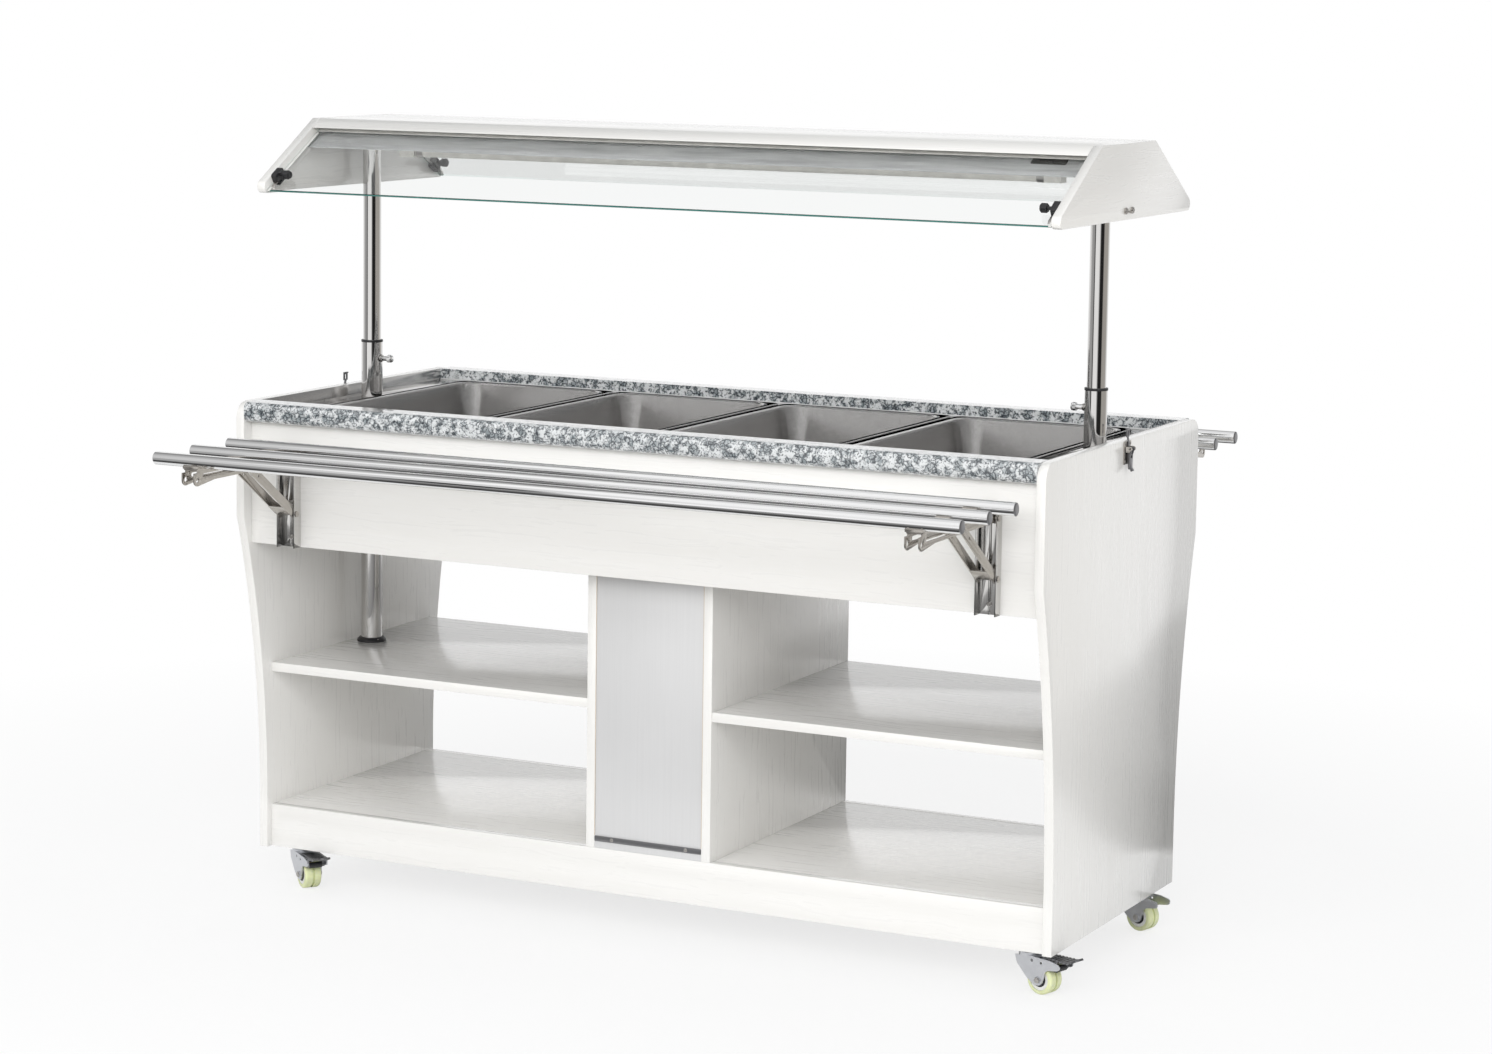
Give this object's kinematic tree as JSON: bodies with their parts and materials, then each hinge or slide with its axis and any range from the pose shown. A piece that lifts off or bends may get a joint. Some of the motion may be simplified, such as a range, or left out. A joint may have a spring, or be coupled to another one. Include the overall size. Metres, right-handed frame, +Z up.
{
  "type": "heated buffet display",
  "caption": "Mobile heated buffet display with gastronorm pans in a stone edged top, a lifting glass canopy, folding tray slides and swivel casters.",
  "frame": {"origin": "on the floor under the middle of the cabinet", "axes": "+X along the length to the right seen from the front, +Y to the back, +Z up"},
  "size_m": [1.5507, 1.27, 1.352],
  "materials": {
    "laminate": "matt warm white laminate with a faint wood grain",
    "stone": "polished grey granite with dark blue-grey speckle",
    "stainless": "brushed stainless steel",
    "polished_tube": "polished stainless steel tube",
    "satin_nickel": "satin nickel plated steel",
    "zinc": "bright zinc plated steel",
    "panel_grey": "light grey satin panel",
    "black_plastic": "black moulded plastic",
    "red_plastic": "red glossy plastic",
    "nylon": "pale yellow-green nylon",
    "glass": "clear glass with green edges",
    "lamp_glass": "frosted lamp tube",
    "brass": "turned brass"
  },
  "bodies": {
    "cabinet": {"end_panel_left": "laminate", "end_panel_right": "laminate", "aprons": "laminate", "plinths": "laminate", "floor_boards": "laminate", "dividers": "laminate", "mid_shelves": "laminate", "service_panels": "panel_grey", "stone_rails": "stone", "well_deck": "stainless", "water_tank": "stainless", "heating_element": "zinc", "drain_valve": "brass", "cable_gland": "black_plastic", "outer_posts": "polished_tube", "post_fittings": "black_plastic", "latch_bases": "satin_nickel", "wall_channels": "satin_nickel", "caster_plates": "zinc"},
    "canopy": {"canopy_ends": "laminate", "canopy_top_board": "laminate", "lamp_housing": "stainless", "lamp": "lamp_glass", "glass_panes": "glass", "glass_clamps": "black_plastic", "latch_keepers": "stainless", "inner_posts": "polished_tube"},
    "front_tray": {"front_tray_tubes": "polished_tube", "front_tray_arms": "satin_nickel"},
    "front_brace": {"front_braces": "satin_nickel"},
    "back_tray": {"back_tray_tubes": "polished_tube", "back_tray_arms": "satin_nickel"},
    "back_brace": {"back_braces": "satin_nickel"},
    "gn_pan_1": {"gn_pan_1": "stainless"},
    "gn_pan_2": {"gn_pan_2": "stainless"},
    "gn_pan_3": {"gn_pan_3": "stainless"},
    "gn_pan_4": {"gn_pan_4": "stainless"},
    "caster_fork_front_left": {"caster_fork_front_left": "zinc"},
    "caster_wheel_front_left": {"caster_wheel_front_left": "nylon"},
    "brake_pedal_front_left": {"brake_pedal_front_left": "black_plastic"},
    "caster_fork_front_right": {"caster_fork_front_right": "zinc"},
    "caster_wheel_front_right": {"caster_wheel_front_right": "nylon"},
    "brake_pedal_front_right": {"brake_pedal_front_right": "black_plastic"},
    "caster_fork_back_left": {"caster_fork_back_left": "zinc"},
    "caster_wheel_back_left": {"caster_wheel_back_left": "nylon"},
    "caster_fork_back_right": {"caster_fork_back_right": "zinc"},
    "caster_wheel_back_right": {"caster_wheel_back_right": "nylon"},
    "lock_plunger_left": {"lock_plunger_left": "polished_tube"},
    "latch_lever_left": {"latch_lever_left": "satin_nickel"},
    "latch_hook_left": {"latch_hook_left": "satin_nickel"},
    "lock_plunger_right": {"lock_plunger_right": "polished_tube"},
    "latch_lever_right": {"latch_lever_right": "satin_nickel"},
    "latch_hook_right": {"latch_hook_right": "satin_nickel"},
    "glass_knob_front_left": {"glass_knob_front_left": "black_plastic"},
    "glass_knob_front_right": {"glass_knob_front_right": "black_plastic"},
    "glass_knob_back_left": {"glass_knob_back_left": "black_plastic"},
    "glass_knob_back_right": {"glass_knob_back_right": "black_plastic"},
    "thermostat_knob": {"thermostat_knob": "black_plastic"},
    "power_switch": {"power_switch": "red_plastic"},
    "drain_handle": {"drain_handle": "red_plastic"}
  },
  "joints": [
    {"name": "canopy_lift", "type": "slide", "parent": "cabinet", "child": "canopy", "axis": [0, 0, 1], "range_m": [-0.355, 0]},
    {"name": "front_tray_fold", "type": "hinge", "parent": "cabinet", "child": "front_tray", "pos_m": [0, -0.341, 0.778], "axis": [1, 0, 0], "range_deg": [0, 90]},
    {"name": "front_brace_swing", "type": "hinge", "parent": "cabinet", "child": "front_brace", "pos_m": [0, -0.34, 0.682], "axis": [1, 0, 0], "range_deg": [0, 124.4]},
    {"name": "back_tray_fold", "type": "hinge", "parent": "cabinet", "child": "back_tray", "pos_m": [0, 0.341, 0.778], "axis": [-1, 0, 0], "range_deg": [0, 90]},
    {"name": "back_brace_swing", "type": "hinge", "parent": "cabinet", "child": "back_brace", "pos_m": [0, 0.34, 0.682], "axis": [-1, 0, 0], "range_deg": [0, 124.4]},
    {"name": "gn_pan_1_lift", "type": "slide", "parent": "cabinet", "child": "gn_pan_1", "axis": [0, 0, 1], "range_m": [0, 0.055]},
    {"name": "gn_pan_2_lift", "type": "slide", "parent": "cabinet", "child": "gn_pan_2", "axis": [0, 0, 1], "range_m": [0, 0.15]},
    {"name": "gn_pan_3_lift", "type": "slide", "parent": "cabinet", "child": "gn_pan_3", "axis": [0, 0, 1], "range_m": [0, 0.15]},
    {"name": "gn_pan_4_lift", "type": "slide", "parent": "cabinet", "child": "gn_pan_4", "axis": [0, 0, 1], "range_m": [0, 0.055]},
    {"name": "caster_swivel_front_left", "type": "hinge", "parent": "cabinet", "child": "caster_fork_front_left", "pos_m": [-0.694, -0.225, 0.062], "axis": [0, 0, 1], "continuous": true},
    {"name": "caster_roll_front_left", "type": "hinge", "parent": "caster_fork_front_left", "child": "caster_wheel_front_left", "pos_m": [-0.67164, -0.24185, 0.025], "axis": [0.6018, 0.7986, 0], "continuous": true},
    {"name": "brake_press_front_left", "type": "hinge", "parent": "caster_fork_front_left", "child": "brake_pedal_front_left", "pos_m": [-0.68122, -0.23463, 0.0552], "axis": [0.6018, 0.7986, 0], "range_deg": [0, 10]},
    {"name": "caster_swivel_front_right", "type": "hinge", "parent": "cabinet", "child": "caster_fork_front_right", "pos_m": [0.694, -0.225, 0.062], "axis": [0, 0, 1], "continuous": true},
    {"name": "caster_roll_front_right", "type": "hinge", "parent": "caster_fork_front_right", "child": "caster_wheel_front_right", "pos_m": [0.72091, -0.23272, 0.025], "axis": [0.2756, 0.9613, 0], "continuous": true},
    {"name": "brake_press_front_right", "type": "hinge", "parent": "caster_fork_front_right", "child": "brake_pedal_front_right", "pos_m": [0.70938, -0.22941, 0.0552], "axis": [0.2756, 0.9613, 0], "range_deg": [0, 10]},
    {"name": "caster_swivel_back_left", "type": "hinge", "parent": "cabinet", "child": "caster_fork_back_left", "pos_m": [-0.694, 0.225, 0.062], "axis": [0, 0, 1], "continuous": true},
    {"name": "caster_roll_back_left", "type": "hinge", "parent": "caster_fork_back_left", "child": "caster_wheel_back_left", "pos_m": [-0.66862, 0.21317, 0.025], "axis": [0.4226, 0.9063, 0], "continuous": true},
    {"name": "caster_swivel_back_right", "type": "hinge", "parent": "cabinet", "child": "caster_fork_back_right", "pos_m": [0.694, 0.225, 0.062], "axis": [0, 0, 1], "continuous": true},
    {"name": "caster_roll_back_right", "type": "hinge", "parent": "caster_fork_back_right", "child": "caster_wheel_back_right", "pos_m": [0.72091, 0.21728, 0.025], "axis": [0.2756, 0.9613, 0], "continuous": true},
    {"name": "lock_pull_left", "type": "slide", "parent": "cabinet", "child": "lock_plunger_left", "axis": [1, 0, 0], "range_m": [0, 0.008], "stiffness_N_per_m": 500, "springref_m": -0.004},
    {"name": "latch_open_left", "type": "hinge", "parent": "cabinet", "child": "latch_lever_left", "pos_m": [-0.759, 0, 0.856], "axis": [0, 1, 0], "range_deg": [0, 100]},
    {"name": "latch_hook_level_left", "type": "hinge", "parent": "latch_lever_left", "child": "latch_hook_left", "pos_m": [-0.756, 0, 0.846], "axis": [0, 1, 0], "range_deg": [-100, 0]},
    {"name": "lock_pull_right", "type": "slide", "parent": "cabinet", "child": "lock_plunger_right", "axis": [-1, 0, 0], "range_m": [0, 0.008], "stiffness_N_per_m": 500, "springref_m": -0.004},
    {"name": "latch_open_right", "type": "hinge", "parent": "cabinet", "child": "latch_lever_right", "pos_m": [0.759, 0, 0.856], "axis": [0, -1, 0], "range_deg": [0, 100]},
    {"name": "latch_hook_level_right", "type": "hinge", "parent": "latch_lever_right", "child": "latch_hook_right", "pos_m": [0.756, 0, 0.846], "axis": [0, -1, 0], "range_deg": [-100, 0]},
    {"name": "glass_knob_turn_front_left", "type": "hinge", "parent": "canopy", "child": "glass_knob_front_left", "pos_m": [-0.704, -0.26299, 1.25909], "axis": [-1, 0, 0], "continuous": true},
    {"name": "glass_knob_turn_front_right", "type": "hinge", "parent": "canopy", "child": "glass_knob_front_right", "pos_m": [0.704, -0.26299, 1.25909], "axis": [1, 0, 0], "continuous": true},
    {"name": "glass_knob_turn_back_left", "type": "hinge", "parent": "canopy", "child": "glass_knob_back_left", "pos_m": [-0.704, 0.26299, 1.25909], "axis": [-1, 0, 0], "continuous": true},
    {"name": "glass_knob_turn_back_right", "type": "hinge", "parent": "canopy", "child": "glass_knob_back_right", "pos_m": [0.704, 0.26299, 1.25909], "axis": [1, 0, 0], "continuous": true},
    {"name": "thermostat_turn", "type": "hinge", "parent": "cabinet", "child": "thermostat_knob", "pos_m": [0.03975, 0.272, 0.52], "axis": [0, -1, 0], "range_deg": [0, 270]},
    {"name": "power_rock", "type": "hinge", "parent": "cabinet", "child": "power_switch", "pos_m": [-0.00425, 0.267, 0.52], "axis": [1, 0, 0], "range_deg": [0, 16]},
    {"name": "drain_turn", "type": "hinge", "parent": "cabinet", "child": "drain_handle", "pos_m": [0.01775, 0.0823, 0.629], "axis": [0, 1, 0], "range_deg": [0, 90]}
  ],
  "couplings": [
    {"joint": "front_brace_swing", "follows": "front_tray_fold", "ratio": 1.3818},
    {"joint": "back_brace_swing", "follows": "back_tray_fold", "ratio": 1.3818},
    {"joint": "latch_hook_level_left", "follows": "latch_open_left", "ratio": -1},
    {"joint": "latch_hook_level_right", "follows": "latch_open_right", "ratio": -1}
  ]
}
